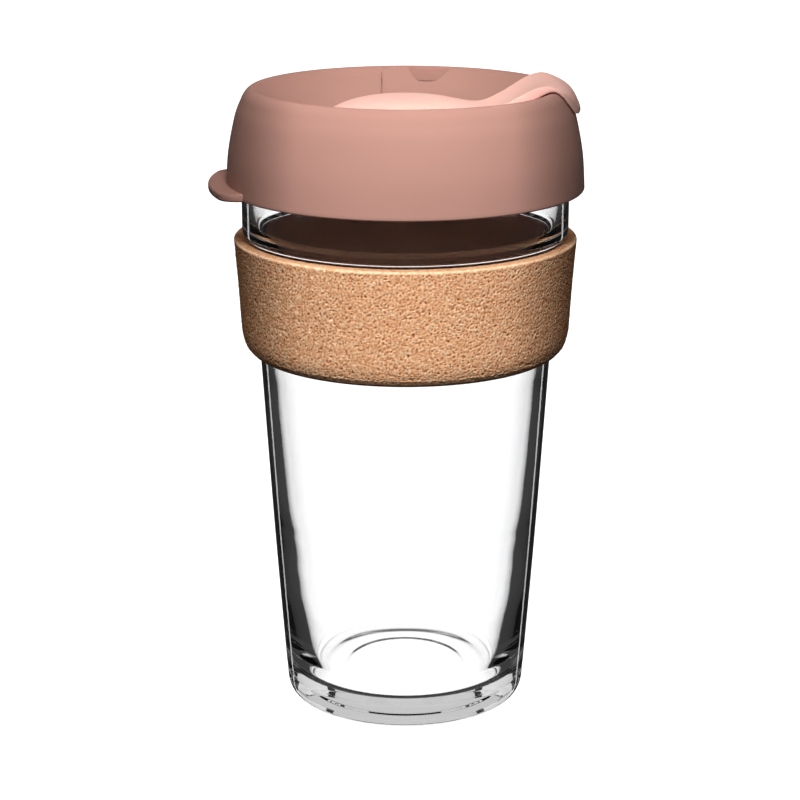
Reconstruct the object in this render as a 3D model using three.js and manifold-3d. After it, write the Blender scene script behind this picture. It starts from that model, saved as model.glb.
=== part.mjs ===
// A travel tumbler in four pieces: a clear-glass cup, a cork band under its shoulder, a press-on lid with a
// sip hole, and a soft plug that turns in the lid to open or cover the hole.
// Millimetres, +Z up. The origin is the centre of the base, on the surface that the cup stands on, and the
// plug's tongue points along +X at rest, with the sip hole open near +Y.
import * as THREE from "three";
import { mergeVertices } from "three/addons/utils/BufferGeometryUtils.js";
import Module from "manifold-3d";

// Shared fits
const GAP = 0.3; // running gap between touching pieces
const TURN_SEGMENTS = 48; // facets round the axis

// Glass cup: radii and heights of the body's stations
const BASE_RADIUS = 27.6;
const BASE_EDGE = [29.3, 0.6];
const HEEL = [30.7, 6.4];
const BAND_FOOT = [36.4, 91.4];
const WAIST_RADIUS = 37.8;
const SHOULDER_BOTTOM = 120;
const SHOULDER_RADIUS = 40.3;
const SHOULDER_ROUND = 1.4;
const RIM_TOP = 144;
const RIM_INNER_RADIUS = 37.9;
const FLOOR_HEIGHT = 6.6;
const FLOOR_EDGE_RADIUS = 23.2;
const BORE_FOOT = [26.2, 10];
const BORE_AT_BAND = [34, 91.4];
const BORE_NECK = [35.4, 117];

// Cork band
const CORK_BOTTOM = 91;
const CORK_TOP = 119.6;
const CORK_WAIST_CLEARANCE = 0.35;
const CORK_OUTSIDE = [
  [39.8, 92.9],
  [40.8, 96.2],
  [41.4, 106],
  [42.4, 119.2],
];

// Lid: the outer skin from the skirt's foot over the crest and down the inner slope to the plug's well
const LID_SKIN = [
  [44, 132.2],
  [43.2, 140.6],
  [41.2, 149.2],
  [39.2, 154.4],
  [37.7, 156.05],
  [36, 156.8],
  [34.4, 156.35],
  [31.2, 154.4],
  [26.3, 151.9],
  [20.1, 150],
];
const LID_SKIN_STEPS = 22;
const LID_FOOT = 131.7;
const SKIRT_INNER_RADIUS = 41.9;
const SEAT_OUTER_RADIUS = SHOULDER_RADIUS + GAP;
const SEAT_HEIGHT = RIM_TOP + GAP;
const SHELF_TOP = 146;
const LIP_OUTER_RADIUS = 37.5;
const LIP_INNER_RADIUS = 35.7;
const LIP_FOOT = 139;
const WELL_RADIUS = 20.1;
const WELL_FLOOR = 147.9;
const WELL_UNDERSIDE = 146.1;
const STUD_HOLE_RADIUS = 6.3;

// Grip tab on the lid's foot
const GRIP_AZIMUTH = 185;
const GRIP_RADIUS = 48.4;
const GRIP_ROOT_RADIUS = 43;
const GRIP_HALF_WIDTH = 17.7;
const GRIP_CORNER = 5;
const GRIP_TOP = 133.7;

// Sip hole through the inner slope, wider towards the crest
const SIP_AZIMUTH = 80;
const SIP_INNER = [31.4, 3];
const SIP_OUTER = [34.9, 5.5];

// Plug: a domed disc, a snap stud under it and a tongue that hooks over the rim
const DISC_RADIUS = WELL_RADIUS - GAP;
const DISC_BOTTOM = WELL_FLOOR + GAP;
const DISC_EDGE_TOP = 149.8;
const DOME_RISE = 4;
const DOME_POWER = 3.2;
const DOME_STEPS = 7;
const STUD_RADIUS = STUD_HOLE_RADIUS - GAP;
const STUD_HOLLOW_RADIUS = 3.4;
const STUD_HOLLOW_TOP = 149.3;
const STUD_FOOT = 142.8;
const CATCH_RADIUS = 7.4;
const CATCH_TOP = WELL_UNDERSIDE - GAP;
const TONGUE_SKIN = [
  [42.05, 150.9],
  [41.6, 153.2],
  [39.6, 156.5],
  [36.2, 158.1],
  [32.2, 157.1],
  [26.3, 153.8],
  [20.4, 151.6],
  [14, 152.5],
];
const TONGUE_SKIN_STEPS = 20;
const TONGUE_FOOT = 150.3;
const TONGUE_ROOT_RADIUS = 12;
const TONGUE_ROOT = [10, 8.1];
const TONGUE_WAIST = [17.4, 9.7];
const TONGUE_CREST = [33, 13.1];
const TONGUE_TIP = 42.4;

// Stops: a raised sector of the inner slope, whose two walls the tongue meets at the ends of its turn
const CLOSED_ANGLE = 78;
const PARKED_ANGLE = -165.6;
const STOP_SLOPE_INNER = [20.1, 151];
const STOP_SLOPE_OUTER = [33.6, 155.85];
const STOP_DEPTH = 1.6;

const wasm = await Module();
wasm.setup();

const radians = (degrees) => (degrees * Math.PI) / 180;
const toPoints = (pairs) => pairs.map(([x, y]) => new THREE.Vector2(x, y));

// A closed geometry as a solid that can be joined and cut.
function solidOf(geometry) {
  const bare = new THREE.BufferGeometry();
  bare.setAttribute("position", geometry.getAttribute("position"));
  if (geometry.index) bare.setIndex(geometry.index);
  const merged = mergeVertices(bare, 1e-3);
  const corners = merged.index.array;
  const faces = [];
  for (let i = 0; i < corners.length; i += 3) {
    const [a, b, c] = corners.subarray(i, i + 3);
    if (a !== b && b !== c && c !== a) faces.push(a, b, c);
  }
  return new wasm.Manifold(
    new wasm.Mesh({
      numProp: 3,
      vertProperties: merged.attributes.position.array,
      triVerts: new Uint32Array(faces),
    }),
  );
}

// A solid turned round the Z axis from a profile of (radius, height) points, listed anticlockwise.
function turned(profile) {
  const lathe = new THREE.LatheGeometry(profile, TURN_SEGMENTS);
  lathe.rotateX(Math.PI / 2);
  return solidOf(lathe);
}

// The same, from a profile that doesn't reach the axis and closes on itself.
function turnedRing(profile) {
  return turned([...profile, profile[0].clone()]);
}

// A flat outline raised from one height to another, turned round the Z axis by an azimuth in degrees.
function raised(shape, bottom, top, azimuth = 0) {
  const block = new THREE.ExtrudeGeometry(shape, {
    depth: top - bottom,
    bevelEnabled: false,
    curveSegments: 8,
  });
  block.translate(0, 0, bottom);
  block.rotateZ(radians(azimuth));
  return solidOf(block);
}

// Points along a smooth curve through the given (radius, height) pairs.
function smooth(pairs, steps) {
  return new THREE.SplineCurve(toPoints(pairs)).getPoints(steps);
}

// A quarter or other part of a circle in the profile plane, angles in degrees.
function arc([centreRadius, centreHeight], radius, from, to, steps) {
  return Array.from({ length: steps + 1 }, (_, i) => {
    const angle = radians(from + ((to - from) * i) / steps);
    return new THREE.Vector2(
      centreRadius + radius * Math.cos(angle),
      centreHeight + radius * Math.sin(angle),
    );
  });
}

// A curve moved sideways by a distance, to the right of its own direction when the distance is positive.
function offset(points, distance) {
  return points.map((point, i) => {
    const before = points[Math.max(i - 1, 0)];
    const after = points[Math.min(i + 1, points.length - 1)];
    const along = after.clone().sub(before).normalize();
    return new THREE.Vector2(
      point.x + along.y * distance,
      point.y - along.x * distance,
    );
  });
}

// A plan-view point turned round the Z axis.
function turnedPoint([x, y], azimuth) {
  return new THREE.Vector2(x, y).rotateAround(
    new THREE.Vector2(),
    radians(azimuth),
  );
}

function meshOf(name, solid, look) {
  const { numProp, vertProperties, triVerts } = solid.getMesh();
  const positions = [];
  for (let i = 0; i < vertProperties.length; i += numProp) {
    positions.push(...vertProperties.subarray(i, i + 3));
  }
  const geometry = new THREE.BufferGeometry();
  geometry.setAttribute(
    "position",
    new THREE.Float32BufferAttribute(positions, 3),
  );
  geometry.setIndex(Array.from(triVerts));
  geometry.computeVertexNormals();
  const mesh = new THREE.Mesh(geometry, new THREE.MeshStandardMaterial(look));
  mesh.name = name;
  return mesh;
}

// The glass: thick flat base, tapered body, slight waist for the band, a proud shoulder and a rounded rim.
function glassCup() {
  const rimRadius = (SHOULDER_RADIUS - RIM_INNER_RADIUS) / 2;
  const rimCentre = [RIM_INNER_RADIUS + rimRadius, RIM_TOP - rimRadius];
  const floorFillet = 3;
  return turned([
    ...toPoints([
      [0, 0],
      [BASE_RADIUS, 0],
      BASE_EDGE,
      [30.3, 2.6],
      HEEL,
      BAND_FOOT,
      [37.3, 104],
      [WAIST_RADIUS, SHOULDER_BOTTOM - 0.3],
      [WAIST_RADIUS + 0.5, SHOULDER_BOTTOM],
    ]),
    ...arc([SHOULDER_RADIUS - SHOULDER_ROUND, SHOULDER_BOTTOM + SHOULDER_ROUND], SHOULDER_ROUND, -90, 0, 4),
    ...arc(rimCentre, rimRadius, 0, 180, 6),
    ...toPoints([
      [37.7, 124],
      BORE_NECK,
      BORE_AT_BAND,
      BORE_FOOT,
    ]),
    ...arc([FLOOR_EDGE_RADIUS, FLOOR_HEIGHT + floorFillet], floorFillet, -10, -90, 4),
    new THREE.Vector2(0, FLOOR_HEIGHT - 0.2),
  ]);
}

// The cork band: a straight-cut top, a rounded lower edge and a bore that follows the glass.
function corkBand() {
  const clear = (radius) => radius + CORK_WAIST_CLEARANCE;
  return turnedRing(
    toPoints([
      [clear(36.5), CORK_BOTTOM + 0.4],
      [clear(37), CORK_BOTTOM],
      [38.2, CORK_BOTTOM + 0.2],
      ...CORK_OUTSIDE,
      [42, CORK_TOP],
      [clear(WAIST_RADIUS) + 0.2, CORK_TOP],
      [clear(37.3), 104],
    ]),
  );
}

// The moulded wall of the lid: skirt, crest, inner slope, plug well, shelf over the rim and sealing lip.
function lidShell() {
  return turnedRing([
    ...toPoints([
      [SKIRT_INNER_RADIUS + 0.3, LID_FOOT],
      [LID_SKIN[0][0] - 0.5, LID_FOOT],
    ]),
    ...smooth(LID_SKIN, LID_SKIN_STEPS),
    ...toPoints([
      [WELL_RADIUS, WELL_FLOOR],
      [STUD_HOLE_RADIUS, WELL_FLOOR],
      [STUD_HOLE_RADIUS, WELL_UNDERSIDE],
      [21.6, WELL_UNDERSIDE],
      [22.4, 148.4],
      [32.2, 152.4],
      [36.8, 153.4],
      [38.6, 150.8],
      [39.8, SHELF_TOP],
      [LIP_INNER_RADIUS, SHELF_TOP],
      [LIP_INNER_RADIUS, LIP_FOOT + 0.4],
      [LIP_INNER_RADIUS + 0.5, LIP_FOOT],
      [LIP_OUTER_RADIUS - 0.5, LIP_FOOT],
      [LIP_OUTER_RADIUS, LIP_FOOT + 1],
      [LIP_OUTER_RADIUS, SEAT_HEIGHT],
      [SEAT_OUTER_RADIUS, SEAT_HEIGHT],
      [SKIRT_INNER_RADIUS, LID_FOOT + 0.3],
    ]),
  ]);
}

// The crescent tab that a thumb pushes up to pop the lid off.
function gripTab() {
  const side = GRIP_HALF_WIDTH;
  const cornerX = Math.sqrt((GRIP_RADIUS - GRIP_CORNER) ** 2 - (side - GRIP_CORNER) ** 2);
  const rootX = Math.sqrt(GRIP_ROOT_RADIUS ** 2 - side ** 2);
  const cornerAngle = Math.atan2(side - GRIP_CORNER, cornerX);
  const rootAngle = Math.atan2(side, rootX);
  const outline = new THREE.Shape();
  outline.moveTo(rootX, -side);
  outline.absarc(cornerX, GRIP_CORNER - side, GRIP_CORNER, -Math.PI / 2, -cornerAngle);
  outline.absarc(0, 0, GRIP_RADIUS, -cornerAngle, cornerAngle);
  outline.absarc(cornerX, side - GRIP_CORNER, GRIP_CORNER, cornerAngle, Math.PI / 2);
  outline.lineTo(rootX, side);
  outline.absarc(0, 0, GRIP_ROOT_RADIUS, rootAngle, -rootAngle, true);
  return raised(outline, LID_FOOT, GRIP_TOP, GRIP_AZIMUTH);
}

// The raised sector of the inner slope, cut square along the tongue's edge at each end of its turn.
function stopSector() {
  const ring = turnedRing(
    toPoints([
      [STOP_SLOPE_INNER[0], STOP_SLOPE_INNER[1] - STOP_DEPTH],
      [STOP_SLOPE_OUTER[0], STOP_SLOPE_OUTER[1] - STOP_DEPTH],
      STOP_SLOPE_OUTER,
      STOP_SLOPE_INNER,
    ]),
  );
  const reach = 1.5; // the wall line runs on past the tongue's waist and crest points by this share
  const [innerX, innerY] = TONGUE_WAIST;
  const [outerX, outerY] = TONGUE_CREST;
  const far = [
    innerX + (outerX - innerX) * reach,
    innerY + (outerY - innerY) * reach + GAP,
  ];
  const near = [innerX, innerY + GAP];
  const mirrored = ([x, y]) => [x, -y];
  const middle = (CLOSED_ANGLE + PARKED_ANGLE + 360) / 2;
  const outline = new THREE.Shape([
    turnedPoint(near, CLOSED_ANGLE),
    turnedPoint(far, CLOSED_ANGLE),
    turnedPoint([2 * innerX * reach, 0], middle),
    turnedPoint(mirrored(far), PARKED_ANGLE),
    turnedPoint(mirrored(near), PARKED_ANGLE),
    turnedPoint([innerX, 0], middle),
  ]);
  return ring.intersect(raised(outline, WELL_FLOOR, RIM_TOP + 20));
}

function sipHole() {
  const [innerX, innerHalf] = SIP_INNER;
  const [outerX, outerHalf] = SIP_OUTER;
  const outline = new THREE.Shape(
    toPoints([
      [innerX, -innerHalf],
      [outerX, -outerHalf],
      [outerX, outerHalf],
      [innerX, innerHalf],
    ]),
  );
  return raised(outline, SHELF_TOP + 1, RIM_TOP + 20, SIP_AZIMUTH);
}

function lid() {
  return lidShell().add(gripTab()).add(stopSector()).subtract(sipHole());
}

// The domed disc with its hollow snap stud, whose catch sits under the well's floor.
function plugDisc() {
  const dome = Array.from({ length: DOME_STEPS + 1 }, (_, i) => {
    const radius = DISC_RADIUS * Math.cos((i / DOME_STEPS) * (Math.PI / 2));
    const fall = (radius / DISC_RADIUS) ** DOME_POWER;
    return new THREE.Vector2(
      i === DOME_STEPS ? 0 : radius,
      DISC_EDGE_TOP + DOME_RISE * (1 - fall),
    );
  });
  return turned([
    ...toPoints([
      [0, STUD_HOLLOW_TOP],
      [STUD_HOLLOW_RADIUS, STUD_HOLLOW_TOP],
      [STUD_HOLLOW_RADIUS, STUD_FOOT],
      [CATCH_RADIUS - 1.8, STUD_FOOT],
      [CATCH_RADIUS, STUD_FOOT + 1.8],
      [CATCH_RADIUS, CATCH_TOP],
      [STUD_RADIUS, CATCH_TOP],
      [STUD_RADIUS, DISC_BOTTOM],
      [DISC_RADIUS, DISC_BOTTOM],
    ]),
    ...dome,
  ]);
}

// The tongue: a strip that follows the lid's skin a gap above it, so that it stays clear all round its turn.
function tongue() {
  const under = offset(smooth(LID_SKIN, LID_SKIN_STEPS), GAP)
    .filter((point) => point.y > TONGUE_FOOT || point.x < LID_SKIN[5][0])
    .reverse();
  const strip = turnedRing([
    ...toPoints([
      [TONGUE_ROOT_RADIUS, DISC_BOTTOM + 0.8],
      [DISC_RADIUS, DISC_BOTTOM + 0.8],
    ]),
    ...under,
    new THREE.Vector2(TONGUE_SKIN[0][0] - 0.4, TONGUE_FOOT),
    ...smooth(TONGUE_SKIN, TONGUE_SKIN_STEPS),
    new THREE.Vector2(TONGUE_ROOT_RADIUS, DISC_EDGE_TOP + DOME_RISE - 1),
  ]);
  const outline = new THREE.Shape();
  const [crestX, crestHalf] = TONGUE_CREST;
  outline.moveTo(TONGUE_ROOT[0], -TONGUE_ROOT[1]);
  outline.lineTo(TONGUE_WAIST[0], -TONGUE_WAIST[1]);
  outline.lineTo(crestX, -crestHalf);
  outline.bezierCurveTo(crestX + 4, -crestHalf - 0.8, 40.5, -12.5, 41.6, -7);
  outline.quadraticCurveTo(TONGUE_TIP, -3.5, TONGUE_TIP, 0);
  outline.quadraticCurveTo(TONGUE_TIP, 3.5, 41.6, 7);
  outline.bezierCurveTo(40.5, 12.5, crestX + 4, crestHalf + 0.8, crestX, crestHalf);
  outline.lineTo(TONGUE_WAIST[0], TONGUE_WAIST[1]);
  outline.lineTo(TONGUE_ROOT[0], TONGUE_ROOT[1]);
  return strip.intersect(raised(outline, WELL_FLOOR, RIM_TOP + 20));
}

function plug() {
  return plugDisc().add(tongue());
}

const group = new THREE.Group();
group.add(
  meshOf("glass_cup", glassCup(), {
    color: "#e8ecec",
    roughness: 0.03,
    metalness: 0,
    transparent: true,
    opacity: 0.35,
  }),
  meshOf("cork_band", corkBand(), {
    color: "#c6935f",
    roughness: 0.9,
    metalness: 0,
  }),
  meshOf("lid", lid(), { color: "#b78676", roughness: 0.55, metalness: 0 }),
  meshOf("plug", plug(), { color: "#f7bfb2", roughness: 0.5, metalness: 0 }),
);

export default group;
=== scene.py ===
"""A travel tumbler: a clear-glass cup, a cork band, a rose lid and a salmon plug that turns in the lid.

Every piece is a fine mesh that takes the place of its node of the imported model, in the same frame:
metres, +Z up, origin at the centre of the base. Lengths below are in millimetres unless they say
otherwise, and MM turns them into metres.
"""
import math

import bmesh
import bpy
from mathutils import Matrix, Vector, noise


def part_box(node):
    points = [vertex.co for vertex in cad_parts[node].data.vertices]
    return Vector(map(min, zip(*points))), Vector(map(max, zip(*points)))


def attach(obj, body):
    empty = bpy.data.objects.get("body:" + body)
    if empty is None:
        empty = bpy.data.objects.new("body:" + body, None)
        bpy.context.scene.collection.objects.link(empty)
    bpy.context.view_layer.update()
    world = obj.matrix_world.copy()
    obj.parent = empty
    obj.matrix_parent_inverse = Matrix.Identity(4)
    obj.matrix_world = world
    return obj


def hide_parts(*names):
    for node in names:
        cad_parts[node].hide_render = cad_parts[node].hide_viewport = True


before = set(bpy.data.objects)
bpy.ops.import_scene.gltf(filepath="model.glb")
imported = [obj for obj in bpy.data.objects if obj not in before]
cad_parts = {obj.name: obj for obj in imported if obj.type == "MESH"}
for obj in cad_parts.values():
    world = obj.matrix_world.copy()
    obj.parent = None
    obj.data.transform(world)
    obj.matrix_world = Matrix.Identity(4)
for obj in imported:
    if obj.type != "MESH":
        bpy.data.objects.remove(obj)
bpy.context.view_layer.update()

MM = 0.001
ROUND_SEGMENTS = 256  # columns round the axis of a turned piece
CURVE_STEPS = 10  # points between two given points of a long curve
MERGE_DISTANCE = 1e-6  # in metres; points closer than this are one
GAP = 0.3  # running gap between touching pieces

# Glass cup, as (radius, height)
GLASS_UNDERSIDE = [(0, 0.5), (15.6, 0.5), (16.2, 0.32), (20.5, 0.3), (21.6, 0.2), (22.8, 0.05), (24, 0)]
GLASS_HEEL = [(27.2, 0), (28.6, 0.12), (29.6, 0.7), (30.35, 2.4), (30.6, 4.4)]
GLASS_WALL_OUTSIDE = [(30.72, 6.4), (31.15, 11.4), (33.5, 44.4), (36.4, 91.4), (37.3, 104), (37.8, 118.6)]
GLASS_NECK = [(37.8, 119.3), (37.95, 119.8), (38.3, 120)]
GLASS_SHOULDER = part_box("glass_cup")[1][0] / MM
GLASS_SHOULDER_BOTTOM = 120
GLASS_SHOULDER_ROUND = 1.4
GLASS_RIM_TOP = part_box("glass_cup")[1][2] / MM
GLASS_RIM_INNER = 37.9
GLASS_WALL_INSIDE = [
    (37.9, 132), (37.5, 124), (35.6, 115), (33.8, 91.4), (32.7, 80), (30.5, 54),
    (29.65, 46), (28.95, 40), (28.3, 34), (27.4, 26), (25.9, 16), (25, 11.5),
]
GLASS_FLOOR = 6.6
GLASS_FLOOR_EDGE = 22.5
GLASS_FLOOR_FILLET = 2.4
GLASS_FLOOR_DISH = [(21.5, GLASS_FLOOR - 0.03), (0, GLASS_FLOOR - 0.27)]
GLASS_RING_GAP = 0.7  # farthest apart that two rings of the mesh may be

# Cork band, as (radius, height)
CORK_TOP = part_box("cork_band")[1][2] / MM
CORK_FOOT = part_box("cork_band")[0][2] / MM
CORK_OUTSIDE = [(39.9, 92.9), (40.8, 96.4), (41.4, 106), (41.9, 113), (42.35, 118.9)]
CORK_FOOT_INSIDE = [(37.1, CORK_FOOT + 0.5), (37.6, CORK_FOOT)]
CORK_FOOT_OUTSIDE = [(37.9, CORK_FOOT + 0.05), (38.8, CORK_FOOT + 0.6), CORK_OUTSIDE[0]]
CORK_TOP_ROUND = 0.5
CORK_TOP_CORNER = (41.9, CORK_TOP - CORK_TOP_ROUND)  # centre of the rounded top edge
CORK_TOP_FLAT = (41.6, 38.4)  # where the flat top begins and ends
CORK_BORE = [(38.35, CORK_TOP - 0.4), (37.7, 104), (37.15, CORK_FOOT + 1)]
CORK_BORE_PAINTED_SHADE_RADII = (38.7, 39.2)  # radii between which the painted shade of the bore fades out
CORK_COLUMNS = 1152
CORK_RING_GAP = 0.25

# Grain of the cork: ridges, finer grains and pits, all fading out at the top edge
GRAIN_SIZE = (0.75, 0.55)  # width and height of one grain
GRAIN_RISE = 0.3
GRAIN_INNER_RADIUS = 39.1  # inside this radius the band stays smooth
GRAIN_FADE = 0.8  # how far below the top the grain is whole
FINE_GRAINS = 2.3  # how many fine grains to a grain
PITS = 0.55  # how many pits to a grain
PIT_SHIFT = Vector((7, 3, 5))
PIT_LEVEL = 0.42  # the higher, the fewer pits
PIT_DEPTH = 1.5

# Lid, as (radius, height): its skin runs from the skirt's foot over the crest and down to the plug's well
LID_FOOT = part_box("lid")[0][2] / MM
LID_SKIN = [
    (44, 132.2), (43.4, 140.6), (41.7, 149.2), (40.2, 153.2), (39.1, 155.2), (37.7, 156.3),
    (36.3, 156.15), (34.2, 155), (31.2, 153.4), (26.3, 151.3), (20.1, 149.8),
]
LID_SKIN_STEPS = 8
LID_FOOT_ROUND = 0.5
LID_FOOT_CORNER = (43.5, 132.25)  # centre of the rounded foot
LID_SHELF_TOP = 146
LID_UNDERSIDE = [(22.4, 148), (32.2, 151.6), (36.6, 152.8), (38.8, 150.6), (39.8, LID_SHELF_TOP + 0.4)]
LID_SEAT = (40.6, GLASS_RIM_TOP + GAP)
LID_SKIRT_INSIDE = [(40.65, LID_SEAT[1] - 0.5), (41.2, 138), (41.9, LID_FOOT + 0.5)]
LID_SKIRT_EDGE = (42.2, LID_FOOT)
# The sealing lip: from the shelf down its inside, round its foot and up its outside
LID_LIP = [
    (39.2, LID_SHELF_TOP), (36.1, LID_SHELF_TOP), (35.7, 145.6), (35.7, 139.5),
    (36.2, 139), (37, 139), (37.5, 140),
]
CREST_RADIUS = 37
WELL_RADIUS = 20.1
WELL_TOP = 149.5
WELL_FLOOR = 147.9
WELL_FLOOR_EDGE = 19.6
WELL_UNDERSIDE = 146.1
WELL_UNDERSIDE_EDGE = 21.6
STUD_HOLE = 6.3

# Grip tab on the lid's foot
GRIP_AZIMUTH = 185
GRIP_RADIUS = 48.4
GRIP_ROOT = 43
GRIP_HALF_WIDTH = 17.7
GRIP_CORNER = 5
GRIP_FOOT = LID_FOOT + 0.02
GRIP_TOP = LID_FOOT + 2
GRIP_EDGE_ROUND = 0.6

# Sip hole: (distance from the axis, half width) at its inner and outer ends
SIP_AZIMUTH = 80
SIP_INNER = (31.4, 3)
SIP_OUTER = (35.6, 5.6)
SIP_CORNER = 0.8
SIP_CUT_FOOT = LID_SHELF_TOP + 1  # above the shelf, so that only the slope is cut
SIP_SCOOP = (1.7, 2.8, 0.45)  # how far the hollow reaches along the radius, across it and down
SIP_SCOOP_HEIGHT = 153.6
ABOVE_ALL = GLASS_RIM_TOP + 20  # a height clear of every piece, for cutters

# Plug
DISC_RADIUS = WELL_RADIUS - GAP
DISC_BOTTOM = WELL_FLOOR + GAP
DISC_EDGE_TOP = 149.8
DOME_RISE = 4
DOME_POWER = 3.2
DOME_STEPS = 24
STUD_RADIUS = STUD_HOLE - GAP
STUD_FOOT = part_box("plug")[0][2] / MM
STUD_HOLLOW = (3.4, 149.3)
CATCH_RADIUS = 7.4
CATCH_TOP = WELL_UNDERSIDE - GAP
CATCH_SLOPE = 1.8

# Tongue of the plug: skin and foot as (radius, height), plan outline as (distance from the axis, half width)
TONGUE_SKIN = [
    (42.75, 150.8), (42.1, 153), (40.1, 156.3), (36.4, 158.1),
    (32.2, 157.1), (26.3, 153.8), (20.4, 151.6), (14, 152.5),
]
TONGUE_FOOT = (42.35, 150.4)
TONGUE_ROOT_RADIUS = 12
TONGUE_ROOT_FOOT = DISC_BOTTOM + 0.8
TONGUE_ROOT_TOP = DISC_EDGE_TOP + DOME_RISE - 1
TONGUE_ROOT = (10, 8.1)
TONGUE_WAIST = (17.4, 9.7)
TONGUE_CREST = (33, 13.1)
TONGUE_END = [TONGUE_CREST, (36.9, 12.7), (39.8, 10), (42, 5.6), (42.8, 0)]

# Remesh of the plug, and the blend where the tongue's edges leave the dome
PLUG_VOXEL = 0.25
PLUG_SMOOTHING = 22
ROOT_SMOOTHING = 60
ROOT_BLEND_CENTRE = (17.3, 9.7)
ROOT_BLEND_FULL = 2.5  # within this distance of the centre the blend is whole
ROOT_BLEND_REACH = 9  # and beyond this one there is none
ROOT_BLEND_FOOT = 149.2  # the blend begins at this height
ROOT_BLEND_RADIUS = 19.6  # outside this radius, over the lid, it begins only at the next height
ROOT_BLEND_OVER_LID = 150.8

# Stops: the raised sector of the inner slope between the two ends of the tongue's turn
CLOSED_ANGLE = 78
PARKED_ANGLE = -165.6
STOP_INNER = (20.1, 150.9)
STOP_OUTER = (34.6, 155.2)
STOP_DEPTH = 1.6
STOP_FADE = 1.3  # how much lower the sector is at the parked end
STOP_GROOVE = (0.3, 0.7)  # width, and depth below the slope, of the groove along the closed end

# Colours, as linear red, green and blue
GLASS_COLOUR = (0.985, 0.985, 0.99)
CORK_TONES = [(0.72, 0.38, 0.19), (0.95, 0.59, 0.36), (1, 0.79, 0.55)]
CORK_MIDDLE = (0.95, 0.58, 0.345)
# painted shade: darker colours for the hollows between the granules and for their slopes
CORK_CREVICE_PAINTED_SHADE = (0.16, 0.07, 0.035)
CORK_SLOPE_PAINTED_SHADE = (0.72, 0.54, 0.42)
# painted shade: the darker colour given to the bore's inside face, which lies in shade inside the band
CORK_BORE_PAINTED_SHADE = (0.3, 0.12, 0.07)
CORK_FLECK = (0.15, 0.06, 0.03)
LID_TONES = (0.415, 0.222, 0.181), (0.445, 0.239, 0.196)
PLUG_TONES = (0.94, 0.555, 0.475), (0.98, 0.585, 0.505)
WHITE = (1, 1, 1)
BLACK = (0, 0, 0)
WARM = (1, 0.78, 0.62)

# Camera, in millimetres and degrees
CAMERA_DISTANCE = 538
CAMERA_HEIGHT = 233.6
CAMERA_PITCH = 16.24
CAMERA_YAW = 0.14
CAMERA_LENS = 99.6
CAMERA_SENSOR = 36

# Stage, in metres and degrees. Bright panels far away show through the glass, each given as (azimuth, half
# width, lowest and highest elevation, strength when reflected), with azimuth 0 behind the cup
PANEL_DISTANCE = 4
PANEL_STEPS = 6
PANELS = [
    (0, 27, 2, 60, 0.62),
    *[(45 * i, 14, 2, 60, 0.8) for i in range(1, 8)],
]
BACKDROP_LIGHT = 1.4
GAP_LIGHT = 0.03  # between the panels
STRIPS = (-36, 36)  # azimuths of two upright strips that give the glass its highlights
STRIP_HALF_WIDTH = 1.8
STRIP_SPAN = (-40, 40)  # lowest and highest elevation
STRIP_LIGHT = 1.8
FLOOR_REACH = 6
FLOOR_HEIGHT = -0.0004
FLOOR_LIGHT = 1.4
FLOOR_REFLECTED = 0.05
FLOOR_CARD = (0.03, 1.2)  # nearest and farthest distance of the dimmer part of the floor behind the cup
FLOOR_CARD_HALF_WIDTH = 11
FLOOR_CARD_LIGHT = 0.62

# Lights: (name, place, size, watts, colour), all aimed at one point
LIGHT_TARGET = (0, 0, 0.12)
LIGHTS = [
    ("key", (0.002, -0.37, 0.46), 0.18, 3.6, WHITE),
    ("back", (0, 0.85, 0.85), 0.45, 4, WHITE),
    ("left", (-0.85, 0, 0.85), 0.45, 1.1, WARM),
    ("right", (0.85, 0, 0.85), 0.45, 0.8, WARM),
]
# Two upright cards that shade the sides of the cup from the key: nearest and farthest |x|, y, low and high
FLAGS = (0.034, 0.12, -0.08, 0.13, 0.29)


# ---------------------------------------------------------------- curves

def spline(points, steps):
    """Points along a smooth curve through the given ones, steps of them between each pair."""
    ends = [points[0], *points, points[-1]]
    out = []
    for i in range(1, len(ends) - 2):
        before, start, stop, after = (Vector(point) for point in ends[i - 1:i + 3])
        leaving, arriving = (stop - before) / 2, (after - start) / 2
        for k in range(steps):
            t = k / steps
            out.append(
                (2 * start - 2 * stop + leaving + arriving) * t ** 3
                + (3 * stop - 3 * start - 2 * leaving - arriving) * t ** 2
                + leaving * t + start
            )
    return [tuple(point) for point in out] + [points[-1]]


def arc(centre, radius, start, stop, steps):
    """Points on part of a circle, angles in degrees."""
    out = []
    for i in range(steps + 1):
        angle = math.radians(start + (stop - start) * i / steps)
        out.append((centre[0] + radius * math.cos(angle), centre[1] + radius * math.sin(angle)))
    return out


def offset(points, distance):
    """The curve moved to the right of its own direction."""
    out = []
    for i, (x, y) in enumerate(points):
        before, after = points[max(i - 1, 0)], points[min(i + 1, len(points) - 1)]
        along = (Vector(after) - Vector(before)).normalized()
        out.append((x + along.y * distance, y - along.x * distance))
    return out


def close_set(points, gap):
    """The same line with more points, no two of them further apart than gap."""
    out = [points[0]]
    for start, stop in zip(points, points[1:]):
        start, stop = Vector(start), Vector(stop)
        count = max(1, math.ceil((stop - start).length / gap))
        out += [tuple(start.lerp(stop, k / count)) for k in range(1, count + 1)]
    return out


def straight(start, stop, steps):
    """Evenly spaced points of a straight line, with both its ends."""
    shares = [i / steps for i in range(steps + 1)]
    return [(start[0] + (stop[0] - start[0]) * t, start[1] + (stop[1] - start[1]) * t) for t in shares]


def turned_point(point, azimuth):
    """A plan point turned round the axis, the angle in degrees."""
    turned = Matrix.Rotation(math.radians(azimuth), 2) @ Vector(point)
    return turned.x, turned.y


# ---------------------------------------------------------------- meshes

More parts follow.
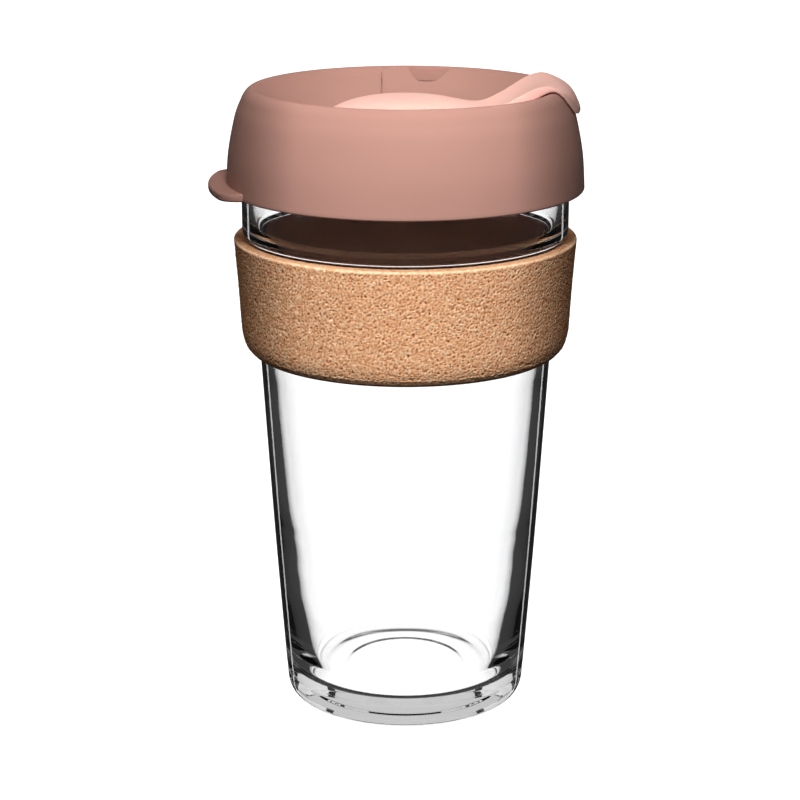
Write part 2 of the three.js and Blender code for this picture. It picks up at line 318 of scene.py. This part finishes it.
def object_from(name, build):
    """An object whose mesh is what build puts into an empty bmesh, with shared points merged."""
    made = bmesh.new()
    build(made)
    bmesh.ops.remove_doubles(made, verts=made.verts, dist=MERGE_DISTANCE)
    bmesh.ops.recalc_face_normals(made, faces=made.faces)
    mesh = bpy.data.meshes.new(name)
    made.to_mesh(mesh)
    made.free()
    piece = bpy.data.objects.new(name, mesh)
    bpy.context.collection.objects.link(piece)
    return piece


def turned(name, profile, segments=ROUND_SEGMENTS, closed=False):
    """A solid of revolution from (radius, height) points in millimetres."""
    def build(made):
        rings = []
        for radius, height in profile:
            count = segments if radius else 1
            rings.append([
                made.verts.new((
                    radius * MM * math.cos(2 * math.pi * i / segments),
                    radius * MM * math.sin(2 * math.pi * i / segments),
                    height * MM,
                ))
                for i in range(count)
            ])
        pairs = list(zip(rings, rings[1:]))
        if closed:
            pairs.append((rings[-1], rings[0]))
        for low, high in pairs:
            for i in range(segments):
                k = (i + 1) % segments
                if len(low) == 1:
                    made.faces.new((low[0], high[k], high[i]))
                elif len(high) == 1:
                    made.faces.new((low[i], low[k], high[0]))
                else:
                    made.faces.new((low[i], low[k], high[k], high[i]))
    return object_from(name, build)


def raised(name, outline, bottom, top, azimuth=0):
    """A flat outline in millimetres raised from one height to another and turned round the axis."""
    def build(made):
        turn = Matrix.Rotation(math.radians(azimuth), 3, "Z")
        lower = [made.verts.new(turn @ Vector((x * MM, y * MM, bottom * MM))) for x, y in outline]
        upper = [made.verts.new(turn @ Vector((x * MM, y * MM, top * MM))) for x, y in outline]
        made.faces.new(lower)
        made.faces.new(upper)
        for i in range(len(outline)):
            k = (i + 1) % len(outline)
            made.faces.new((lower[i], lower[k], upper[k], upper[i]))
    return object_from(name, build)


def applied(piece):
    """Turns a piece's modifiers into its mesh."""
    graph = bpy.context.evaluated_depsgraph_get()
    mesh = bpy.data.meshes.new_from_object(piece.evaluated_get(graph))
    piece.modifiers.clear()
    piece.data = mesh
    return piece


def joined(piece, tool, operation):
    """Adds, cuts or intersects piece with tool, which is used up."""
    cut = piece.modifiers.new("cut", "BOOLEAN")
    cut.operation = operation
    cut.solver = "EXACT"
    cut.object = tool
    applied(piece)
    bpy.data.objects.remove(tool)
    return piece


def rounded(piece, width, segments, angle):
    """Rounds the edges sharper than an angle in degrees."""
    bevel = piece.modifiers.new("bevel", "BEVEL")
    bevel.width = width * MM
    bevel.segments = segments
    bevel.limit_method = "ANGLE"
    bevel.angle_limit = math.radians(angle)
    return applied(piece)


def smooth_shaded(piece, angle):
    """Smooth shading, but for edges sharper than an angle in degrees."""
    piece.data.shade_smooth()
    piece.data.set_sharp_from_angle(angle=math.radians(angle))
    return piece


def finished(piece, body, node, material):
    """Puts a piece on its body in place of its CAD node, with its material."""
    piece.data.materials.clear()
    piece.data.materials.append(material)
    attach(piece, body)
    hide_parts(node)
    return piece


# ---------------------------------------------------------------- materials

MIX_INPUTS = (0, 6, 7)  # the sockets that a Mix node uses for share, first and second colour
MIX_OUTPUT = 2


class Nodes:
    """A material's node tree with one Principled shader, and short ways to add nodes to it."""

    def __init__(self, name):
        self.material = bpy.data.materials.new(name)
        self.material.use_nodes = True
        self.tree = self.material.node_tree
        self.shader = self.tree.nodes["Principled BSDF"]
        self.place = self.add("ShaderNodeTexCoord").outputs["Object"]

    def add(self, kind, **settings):
        """A new node of the kind, with its settings."""
        node = self.tree.nodes.new(kind)
        for key, value in settings.items():
            setattr(node, key, value)
        return node

    def link(self, source, target):
        """Joins one node's output to another's input."""
        self.tree.links.new(source, target)

    def set(self, **values):
        """Constants on the shader's own sockets, by their names with _ for a space."""
        for key, value in values.items():
            self.shader.inputs[key.replace("_", " ")].default_value = value

    def clouds(self, per_metre, detail, roughness=0.5):
        """Soft random patches, from 0 to 1."""
        node = self.add("ShaderNodeTexNoise")
        node.inputs["Scale"].default_value = per_metre
        node.inputs["Detail"].default_value = detail
        node.inputs["Roughness"].default_value = roughness
        self.link(self.place, node.inputs["Vector"])
        return node.outputs["Fac"]

    def cells(self, per_metre):
        """Cells with a random colour each."""
        node = self.add("ShaderNodeTexVoronoi")
        node.inputs["Scale"].default_value = per_metre
        self.link(self.place, node.inputs["Vector"])
        return node.outputs["Color"]

    def ramp(self, source, stops):
        """A colour ramp from (place, colour) stops."""
        stops = list(stops)
        node = self.add("ShaderNodeValToRGB")
        elements = node.color_ramp.elements
        while len(elements) < len(stops):
            elements.new(0.5)
        for element, (place, colour) in zip(elements, stops):
            element.position = place
            element.color = (*colour, 1)
        self.link(source, node.inputs["Fac"])
        return node.outputs["Color"]

    def radius(self):
        """Distance from the cup's axis, in metres."""
        flat = self.add("ShaderNodeVectorMath", operation="MULTIPLY")
        flat.inputs[1].default_value = (1, 1, 0)
        self.link(self.place, flat.inputs[0])
        length = self.add("ShaderNodeVectorMath", operation="LENGTH")
        self.link(flat.outputs[0], length.inputs[0])
        return length.outputs["Value"]

    def rescaled(self, source, low, high, start=0, stop=1):
        """A value from start to stop turned into one from low to high."""
        node = self.add("ShaderNodeMapRange")
        for key, value in (("From Min", start), ("From Max", stop), ("To Min", low), ("To Max", high)):
            node.inputs[key].default_value = value
        self.link(source, node.inputs["Value"])
        return node.outputs["Result"]

    def mixed(self, share, first, second, blend="MIX"):
        """Two colours mixed; share is a number or a socket."""
        node = self.add("ShaderNodeMix", data_type="RGBA", blend_type=blend)
        for value, place in zip((share, first, second), MIX_INPUTS):
            target = node.inputs[place]
            if isinstance(value, bpy.types.NodeSocket):
                self.link(value, target)
            elif isinstance(value, (int, float)):
                target.default_value = value
            else:
                target.default_value = (*value, 1)
        return node.outputs[MIX_OUTPUT]

    def bump(self, source, height, below=None):
        """Bump of a height in millimetres, on top of an earlier one if below is given."""
        node = self.add("ShaderNodeBump")
        node.inputs["Distance"].default_value = height * MM
        self.link(source, node.inputs["Height"])
        if below is not None:
            self.link(below, node.inputs["Normal"])
        return node.outputs["Normal"]


def glass_material():
    """Clear pressed glass with the faint waves of a moulded wall."""
    n = Nodes("clear_glass")
    n.set(Base_Color=(*GLASS_COLOUR, 1), Roughness=0.0, IOR=1.5, Transmission_Weight=1.0)
    waves = n.clouds(per_metre=60, detail=1)
    n.link(n.bump(waves, height=0.04), n.shader.inputs["Normal"])
    return n.material


def cork_material():
    """Agglomerated cork: tan granules with scattered dark flecks, and painted shade in the hollows between
    them and on the bore.
    """
    n = Nodes("cork")
    granules = n.ramp(n.cells(per_metre=1300), zip((0.0, 0.5, 1.0), CORK_TONES))
    drift = n.clouds(per_metre=70, detail=2)
    tone = n.mixed(n.rescaled(drift, 0.0, 0.4), granules, CORK_MIDDLE)
    # painted shade: the mesh's pointiness darkens the hollows
    hollow = n.ramp(n.add("ShaderNodeNewGeometry").outputs["Pointiness"], [
        (0.45, CORK_CREVICE_PAINTED_SHADE), (0.49, CORK_SLOPE_PAINTED_SHADE), (0.525, WHITE),
    ])
    tone = n.mixed(1.0, tone, hollow, blend="MULTIPLY")
    # painted shade: the bore grows darker inwards from these radii
    bore = n.rescaled(n.radius(), 1, 0, CORK_BORE_PAINTED_SHADE_RADII[0] * MM, CORK_BORE_PAINTED_SHADE_RADII[1] * MM)
    tone = n.mixed(bore, tone, CORK_BORE_PAINTED_SHADE)
    flecks = n.ramp(n.clouds(per_metre=1000, detail=2, roughness=0.6), [(0.26, WHITE), (0.34, BLACK)])
    tone = n.mixed(flecks, tone, CORK_FLECK)
    n.link(tone, n.shader.inputs["Base Color"])
    n.set(Specular_IOR_Level=0.04)
    n.link(n.rescaled(drift, 0.75, 0.92), n.shader.inputs["Roughness"])
    dust = n.clouds(per_metre=3200, detail=2)
    n.link(n.bump(dust, height=0.1), n.shader.inputs["Normal"])
    return n.material


def lid_material():
    """Matte moulded plastic with a fine spark-eroded texture and slight handling wear."""
    n = Nodes("lid_plastic")
    drift = n.clouds(per_metre=45, detail=3)
    n.link(n.mixed(drift, *LID_TONES), n.shader.inputs["Base Color"])
    n.set(Specular_IOR_Level=0.2)
    wear = n.clouds(per_metre=300, detail=4)
    n.link(n.rescaled(wear, 0.46, 0.6), n.shader.inputs["Roughness"])
    grain = n.bump(n.clouds(per_metre=2600, detail=2), height=0.012)
    waves = n.bump(n.clouds(per_metre=25, detail=1), height=0.15, below=grain)
    n.link(waves, n.shader.inputs["Normal"])
    return n.material


def plug_material():
    """Soft satin elastomer, slightly translucent at its thin edges."""
    n = Nodes("plug_plastic")
    drift = n.clouds(per_metre=60, detail=3)
    n.link(n.mixed(drift, *PLUG_TONES), n.shader.inputs["Base Color"])
    n.set(Subsurface_Weight=0.15, Subsurface_Scale=0.002)
    wear = n.clouds(per_metre=320, detail=4)
    n.link(n.rescaled(wear, 0.38, 0.5), n.shader.inputs["Roughness"])
    grain = n.clouds(per_metre=2200, detail=2)
    n.link(n.bump(grain, height=0.01), n.shader.inputs["Normal"])
    return n.material


# ---------------------------------------------------------------- glass cup

def glass_profile():
    """The glass from the middle of its underside, up the outside, over the rim and down to its floor."""
    rim_round = (GLASS_SHOULDER - GLASS_RIM_INNER) / 2
    rim_centre = (GLASS_RIM_INNER + rim_round, GLASS_RIM_TOP - rim_round)
    shoulder_centre = (GLASS_SHOULDER - GLASS_SHOULDER_ROUND, GLASS_SHOULDER_BOTTOM + GLASS_SHOULDER_ROUND)
    fillet_centre = (GLASS_FLOOR_EDGE, GLASS_FLOOR + GLASS_FLOOR_FILLET)
    return [
        *GLASS_UNDERSIDE,
        *spline(GLASS_HEEL, 5),
        *spline(GLASS_WALL_OUTSIDE, CURVE_STEPS),
        *spline(GLASS_NECK, 3),
        *arc(shoulder_centre, GLASS_SHOULDER_ROUND, -90, 0, 8),
        *arc(rim_centre, rim_round, 0, 180, 14),
        *spline(GLASS_WALL_INSIDE, CURVE_STEPS),
        *arc(fillet_centre, GLASS_FLOOR_FILLET, -4, -90, 10),
        *GLASS_FLOOR_DISH,
    ]


def make_glass():
    """The pressed tumbler."""
    piece = turned("glass_body", close_set(glass_profile(), GLASS_RING_GAP))
    smooth_shaded(piece, angle=60)
    return finished(piece, "cup", "glass_cup", glass_material())


# ---------------------------------------------------------------- cork band

def cork_profile():
    """The ring from the inside of its foot, up the outside, over the top and down the bore."""
    return [
        *spline(CORK_FOOT_INSIDE, 2),
        *spline(CORK_FOOT_OUTSIDE, 5)[:-1],
        *close_set(spline(CORK_OUTSIDE, 5), CORK_RING_GAP),
        *arc(CORK_TOP_CORNER, CORK_TOP_ROUND, 10, 90, 4),
        *straight((CORK_TOP_FLAT[0], CORK_TOP), (CORK_TOP_FLAT[1], CORK_TOP), 7)[1:],
        *spline(CORK_BORE, CURVE_STEPS),
    ]


def roughened(piece):
    """Presses the grains and pits of agglomerated cork into the outside of the sleeve."""
    across, up = GRAIN_SIZE
    for vertex in piece.data.vertices:
        place = vertex.co / MM
        outward = Vector((place.x, place.y, 0))
        if outward.length < GRAIN_INNER_RADIUS:
            continue
        grain = Vector((place.x / across, place.y / across, place.z / up))
        ridge = 1 - 2 * abs(noise.noise(grain))
        fine = noise.noise(grain * FINE_GRAINS)
        pit = min(0, noise.noise(grain * PITS + PIT_SHIFT) + PIT_LEVEL)
        height = GRAIN_RISE * ((ridge + fine - 1) / 2 + PIT_DEPTH * pit)
        share = min(1, (CORK_TOP - place.z) / GRAIN_FADE)
        vertex.co += outward.normalized() * height * share * MM
    return piece


def make_cork():
    """The cork band."""
    piece = turned("cork_sleeve", cork_profile(), segments=CORK_COLUMNS, closed=True)
    roughened(piece)
    smooth_shaded(piece, angle=60)
    return finished(piece, "band", "cork_band", cork_material())


# ---------------------------------------------------------------- lid

def lid_profile():
    """The lid's wall: skin, well, stud hole, underside, lip, seat over the rim, and inside of the skirt."""
    return [
        *arc(LID_FOOT_CORNER, LID_FOOT_ROUND, -90, -10, 4),
        *spline(LID_SKIN, LID_SKIN_STEPS),
        *spline([(WELL_RADIUS, WELL_TOP), (WELL_RADIUS, WELL_FLOOR)], 3),
        *straight((WELL_FLOOR_EDGE, WELL_FLOOR), (STUD_HOLE, WELL_FLOOR), 6),
        *straight((STUD_HOLE, WELL_UNDERSIDE), (WELL_UNDERSIDE_EDGE, WELL_UNDERSIDE), 6),
        *spline(LID_UNDERSIDE, 6),
        *LID_LIP,
        (LID_LIP[-1][0], LID_SEAT[1]),
        LID_SEAT,
        *spline(LID_SKIRT_INSIDE, 6),
        LID_SKIRT_EDGE,
    ]


def grip_outline():
    """The tab's plan outline, with its straight sides, rounded corners and the arc that joins the skirt."""
    side, corner = GRIP_HALF_WIDTH, GRIP_CORNER
    corner_x = math.sqrt((GRIP_RADIUS - corner) ** 2 - (side - corner) ** 2)
    corner_angle = math.degrees(math.atan2(side - corner, corner_x))
    root_angle = math.degrees(math.asin(side / GRIP_ROOT))
    return [
        *arc((corner_x, corner - side), corner, -90, -corner_angle, 8),
        *arc((0, 0), GRIP_RADIUS, -corner_angle, corner_angle, 24)[1:-1],
        *arc((corner_x, side - corner), corner, corner_angle, 90, 8),
        *arc((0, 0), GRIP_ROOT, root_angle, -root_angle, 24),
    ]


def make_grip():
    """The flat tab with rounded edges that the lid is pulled off by."""
    tab = raised("grip", grip_outline(), GRIP_FOOT, GRIP_TOP, GRIP_AZIMUTH)
    return rounded(tab, GRIP_EDGE_ROUND, segments=4, angle=60)


def tongue_edge(side):
    """Two points of the straight part of the tongue's edge, half as long again and moved off the tongue."""
    near_x, near_y = TONGUE_WAIST
    far_x = near_x + 1.5 * (TONGUE_CREST[0] - near_x)
    far_y = near_y + 1.5 * (TONGUE_CREST[1] - near_y)
    return (near_x, side * (near_y + GAP)), (far_x, side * (far_y + GAP))


def sector(name, foot, head, outline):
    """The part of the inner slope, from foot below it to head above it, that lies within a plan outline."""
    slope = [
        (STOP_INNER[0], STOP_INNER[1] - foot), (STOP_OUTER[0], STOP_OUTER[1] - foot),
        (STOP_OUTER[0], STOP_OUTER[1] + head), (STOP_INNER[0], STOP_INNER[1] + head),
    ]
    plan = raised(name + "_plan", outline, WELL_UNDERSIDE, ABOVE_ALL)
    return joined(turned(name, slope, closed=True), plan, "INTERSECT")


def make_stops():
    """The raised sector, its ends cut along the tongue's edges where the tongue stops."""
    span = PARKED_ANGLE + 360 - CLOSED_ANGLE
    middle = CLOSED_ANGLE + span / 2
    near, far = tongue_edge(1)
    parked_near, parked_far = tongue_edge(-1)
    piece = sector("stops", STOP_DEPTH, 0, [
        turned_point(near, CLOSED_ANGLE),
        turned_point(far, CLOSED_ANGLE),
        turned_point((3 * TONGUE_WAIST[0], 0), middle),
        turned_point(parked_far, PARKED_ANGLE),
        turned_point(parked_near, PARKED_ANGLE),
        turned_point((TONGUE_WAIST[0], 0), middle),
    ])
    for vertex in piece.data.vertices:
        turn = math.degrees(math.atan2(vertex.co.y, vertex.co.x)) - CLOSED_ANGLE
        share = ((turn + 90) % 360 - 90) / span
        vertex.co.z -= STOP_FADE * min(1, max(0, share)) * MM
    return piece


def make_stop_groove():
    """The cutter of the fine groove that shows where the closed tongue's edge lies."""
    width, depth = STOP_GROOVE
    near, far = tongue_edge(1)
    outline = [near, far, (far[0], far[1] - width), (near[0], near[1] - width)]
    return sector("groove", depth + 1, 2, [turned_point(point, CLOSED_ANGLE) for point in outline])


def make_sip_cutter():
    """The tapered, round-cornered block that cuts the sip hole."""
    outline = [
        (SIP_INNER[0], -SIP_INNER[1]), (SIP_OUTER[0], -SIP_OUTER[1]),
        (SIP_OUTER[0], SIP_OUTER[1]), (SIP_INNER[0], SIP_INNER[1]),
    ]
    cutter = raised("sip", outline, SIP_CUT_FOOT, ABOVE_ALL, SIP_AZIMUTH)
    return rounded(cutter, SIP_CORNER, segments=4, angle=20)


def make_sip_scoop():
    """A shallow hollow for the lip on the inner side of the sip hole."""
    along, across, deep = SIP_SCOOP
    scoop = turned("scoop", [(0, -1), *arc((0, 0), 1, -80, 80, 16), (0, 1)], segments=48)
    turn = Matrix.Rotation(math.radians(SIP_AZIMUTH), 4, "Z")
    shift = Matrix.Translation((SIP_INNER[0] * MM, 0, SIP_SCOOP_HEIGHT * MM))
    scoop.data.transform(turn @ shift @ Matrix.Diagonal((along, across, deep, 1)))
    return scoop


def make_lid():
    """The lid's turned wall with its grip, stops, groove and sip hole."""
    piece = turned("lid_shell", lid_profile(), closed=True)
    joined(piece, make_grip(), "UNION")
    joined(piece, make_stops(), "UNION")
    joined(piece, make_stop_groove(), "DIFFERENCE")
    joined(piece, make_sip_scoop(), "DIFFERENCE")
    joined(piece, make_sip_cutter(), "DIFFERENCE")
    smooth_shaded(piece, angle=30)
    return finished(piece, "lid_body", "lid", lid_material())


# ---------------------------------------------------------------- plug

def plug_profile():
    """The domed disc over the stud, which is hollow and ends in the catch."""
    dome = []
    for i in range(DOME_STEPS):
        share = math.cos(i / DOME_STEPS * math.pi / 2)
        dome.append((DISC_RADIUS * share, DISC_EDGE_TOP + DOME_RISE * (1 - share ** DOME_POWER)))
    dome.append((0, DISC_EDGE_TOP + DOME_RISE))
    return [
        (0, STUD_HOLLOW[1]),
        STUD_HOLLOW,
        (STUD_HOLLOW[0], STUD_FOOT),
        (CATCH_RADIUS - CATCH_SLOPE, STUD_FOOT),
        (CATCH_RADIUS, STUD_FOOT + CATCH_SLOPE),
        (CATCH_RADIUS, CATCH_TOP),
        (STUD_RADIUS, CATCH_TOP),
        (STUD_RADIUS, DISC_BOTTOM),
        (DISC_RADIUS, DISC_BOTTOM),
        *dome,
    ]


def tongue_outline():
    """The tongue's plan outline: one half from root to tip, mirrored for the other."""
    half = [TONGUE_ROOT, TONGUE_WAIST, *spline(TONGUE_END, 6)]
    return [(x, -y) for x, y in half[:-1]] + [(x, y) for x, y in reversed(half)]


def make_tongue():
    """The tongue, from inside the dome up the slope and over the crest, a running gap clear of the lid."""
    under = offset(spline(LID_SKIN, LID_SKIN_STEPS), GAP)
    under = [point for point in under if point[1] > TONGUE_FOOT[1] or point[0] < CREST_RADIUS]
    strip = turned("tongue", [
        (TONGUE_ROOT_RADIUS, TONGUE_ROOT_FOOT),
        (DISC_RADIUS, TONGUE_ROOT_FOOT),
        *reversed(under),
        TONGUE_FOOT,
        *spline(TONGUE_SKIN, 8),
        (TONGUE_ROOT_RADIUS, TONGUE_ROOT_TOP),
    ], closed=True)
    block = raised("tongue_block", tongue_outline(), WELL_FLOOR, ABOVE_ALL)
    return joined(strip, block, "INTERSECT")


def blended_root(piece):
    """Smooths the fold where the tongue's edges leave the dome, and keeps what lies next to the lid."""
    group = piece.vertex_groups.new(name="root")
    for vertex in piece.data.vertices:
        place = vertex.co / MM
        away = math.hypot(place.x - ROOT_BLEND_CENTRE[0], abs(place.y) - ROOT_BLEND_CENTRE[1])
        near = (ROOT_BLEND_REACH - away) / (ROOT_BLEND_REACH - ROOT_BLEND_FULL)
        inside = ROOT_BLEND_RADIUS - math.hypot(place.x, place.y)
        share = min(1, near, place.z - ROOT_BLEND_FOOT, max(inside, place.z - ROOT_BLEND_OVER_LID))
        if share > 0:
            group.add([vertex.index], share, "REPLACE")
    soft = piece.modifiers.new("soft", "SMOOTH")
    soft.vertex_group = group.name
    soft.factor = 0.5
    soft.iterations = ROOT_SMOOTHING
    return applied(piece)


def make_plug():
    """One moulding: disc, stud and tongue are remeshed together, so that they flow into each other."""
    piece = turned("plug_moulding", plug_profile())
    joined(piece, make_tongue(), "UNION")
    fine = piece.modifiers.new("fine", "REMESH")
    fine.mode = "VOXEL"
    fine.voxel_size = PLUG_VOXEL * MM
    even = piece.modifiers.new("even", "SMOOTH")
    even.factor = 0.5
    even.iterations = PLUG_SMOOTHING
    applied(piece)
    blended_root(piece)
    smooth_shaded(piece, angle=60)
    return finished(piece, "plug_body", "plug", plug_material())


# ---------------------------------------------------------------- studio

def staged(piece, material, *seen_by):
    """Makes an object part of the stage, seen only by the kinds of ray that are named."""
    piece.data.materials.append(material)
    for kind in ("camera", "diffuse", "glossy", "transmission", "volume_scatter", "shadow"):
        setattr(piece, "visible_" + kind, kind in seen_by)


def stage_material(name, straight=0.0, reflected=0.0):
    """Black but shining, with one strength for rays straight through the glass and one for reflected."""
    material = bpy.data.materials.new(name)
    material.use_nodes = True
    material.cycles.emission_sampling = "NONE"
    tree = material.node_tree
    shader = tree.nodes["Principled BSDF"]
    shader.inputs["Base Color"].default_value = (*BLACK, 1)
    shader.inputs["Roughness"].default_value = 1.0
    shader.inputs["Specular IOR Level"].default_value = 0.0
    shader.inputs["Emission Color"].default_value = (*WHITE, 1)
    tree.links.new(by_ray(tree, straight, reflected), shader.inputs["Emission Strength"])
    return material


def by_ray(tree, straight, reflected):
    """A strength that differs between rays straight through the glass and reflected ones."""
    depth = tree.nodes.new("ShaderNodeLightPath").outputs["Glossy Depth"]
    return between(tree, depth, straight, reflected)


def between(tree, share, low, high):
    """A value that goes from low to high as the share goes from 0 to 1."""
    node = tree.nodes.new("ShaderNodeMapRange")
    node.inputs["To Min"].default_value = low
    node.inputs["To Max"].default_value = high
    tree.links.new(share, node.inputs["Value"])
    return node.outputs["Result"]


def sheet(name, corners):
    """A flat four-cornered object, in metres."""
    def build(made):
        made.faces.new([made.verts.new(corner) for corner in corners])
    return object_from(name, build)


def panel(name, azimuth, half_width, low, high):
    """A piece of a far sphere round the cup."""
    def build(made):
        rows = []
        for i in range(PANEL_STEPS + 1):
            rise = math.radians(low + (high - low) * i / PANEL_STEPS)
            flat = PANEL_DISTANCE * math.cos(rise)
            up = PANEL_DISTANCE * math.sin(rise)
            row = []
            for k in range(PANEL_STEPS + 1):
                turn = math.radians(azimuth + half_width * (2 * k / PANEL_STEPS - 1))
                row.append(made.verts.new((flat * math.sin(turn), flat * math.cos(turn), up)))
            rows.append(row)
        for lower, upper in zip(rows, rows[1:]):
            for k in range(PANEL_STEPS):
                made.faces.new((lower[k], lower[k + 1], upper[k + 1], upper[k]))
    return object_from(name, build)


def make_floor():
    """A pale floor, and a dimmer part of it behind the cup that only shows through the glass."""
    signs = ((-1, -1), (1, -1), (1, 1), (-1, 1))
    corners = [(FLOOR_REACH * x, FLOOR_REACH * y, FLOOR_HEIGHT) for x, y in signs]
    paint = stage_material("floor", FLOOR_LIGHT, FLOOR_REFLECTED)
    staged(sheet("floor", corners), paint, "camera", "transmission")
    near, far = FLOOR_CARD
    side = math.tan(math.radians(FLOOR_CARD_HALF_WIDTH))
    plan = [(-side * near, near), (side * near, near), (side * far, far), (-side * far, far)]
    card = sheet("floor_card", [(x, y, FLOOR_HEIGHT / 2) for x, y in plan])
    staged(card, stage_material("card", FLOOR_LIGHT, FLOOR_CARD_LIGHT), "transmission")


def make_panels():
    """The bright backdrop seen through the glass, and the strips reflected in it."""
    for i, (*place, reflected) in enumerate(PANELS):
        name = f"panel_{i}"
        staged(panel(name, *place), stage_material(name, BACKDROP_LIGHT, reflected), "transmission")
    for i, azimuth in enumerate(STRIPS):
        name = f"strip_{i}"
        strip = panel(name, azimuth, STRIP_HALF_WIDTH, *STRIP_SPAN)
        staged(strip, stage_material(name, BACKDROP_LIGHT, STRIP_LIGHT), "glossy")


def make_world():
    """White to the camera and to rays straight through the glass, and nearly dark to all others."""
    world = bpy.data.worlds.new("studio")
    world.use_nodes = True
    tree = world.node_tree
    path = tree.nodes.new("ShaderNodeLightPath")
    through = tree.nodes.new("ShaderNodeMath")
    through.operation = "MULTIPLY"
    tree.links.new(path.outputs["Is Transmission Ray"], through.inputs[0])
    tree.links.new(by_ray(tree, BACKDROP_LIGHT, 0), through.inputs[1])
    brightest = tree.nodes.new("ShaderNodeMath")
    brightest.operation = "MAXIMUM"
    tree.links.new(between(tree, path.outputs["Is Camera Ray"], GAP_LIGHT, 1), brightest.inputs[0])
    tree.links.new(through.outputs[0], brightest.inputs[1])
    background = tree.nodes["Background"]
    background.inputs["Color"].default_value = (*WHITE, 1)
    tree.links.new(brightest.outputs[0], background.inputs["Strength"])
    bpy.context.scene.world = world


def make_lights():
    """Soft lamps for the matte pieces, which the glass doesn't show."""
    for name, place, size, watts, colour in LIGHTS:
        data = bpy.data.lights.new(name, "AREA")
        data.size = size
        data.energy = watts
        data.color = colour
        light = bpy.data.objects.new(name, data)
        light.location = place
        light.rotation_mode = "QUATERNION"
        light.rotation_quaternion = (Vector(LIGHT_TARGET) - Vector(place)).to_track_quat("-Z", "Y")
        light.visible_glossy = False
        light.visible_transmission = False
        bpy.context.collection.objects.link(light)


def make_flags():
    """The two upright cards that only cast shadows."""
    near, far, y, low, high = FLAGS
    for side in (-1, 1):
        corners = [(side * x, y, z) for x, z in ((near, low), (far, low), (far, high), (near, high))]
        staged(sheet(f"flag_{side}", corners), stage_material("flag"), "shadow")


def make_camera():
    """The camera, in front of the cup and a little above it."""
    data = bpy.data.cameras.new("camera")
    data.sensor_width = CAMERA_SENSOR
    data.lens = CAMERA_LENS
    camera = bpy.data.objects.new("camera", data)
    camera.location = (0, -CAMERA_DISTANCE * MM, CAMERA_HEIGHT * MM)
    camera.rotation_euler = (math.radians(90 - CAMERA_PITCH), 0, math.radians(CAMERA_YAW))
    bpy.context.collection.objects.link(camera)
    bpy.context.scene.camera = camera


bpy.context.scene.view_settings.view_transform = "Standard"  # no film curve, so that white stays white
make_camera()
make_world()
make_lights()
make_flags()
make_floor()
make_panels()
make_glass()
make_cork()
make_lid()
make_plug()
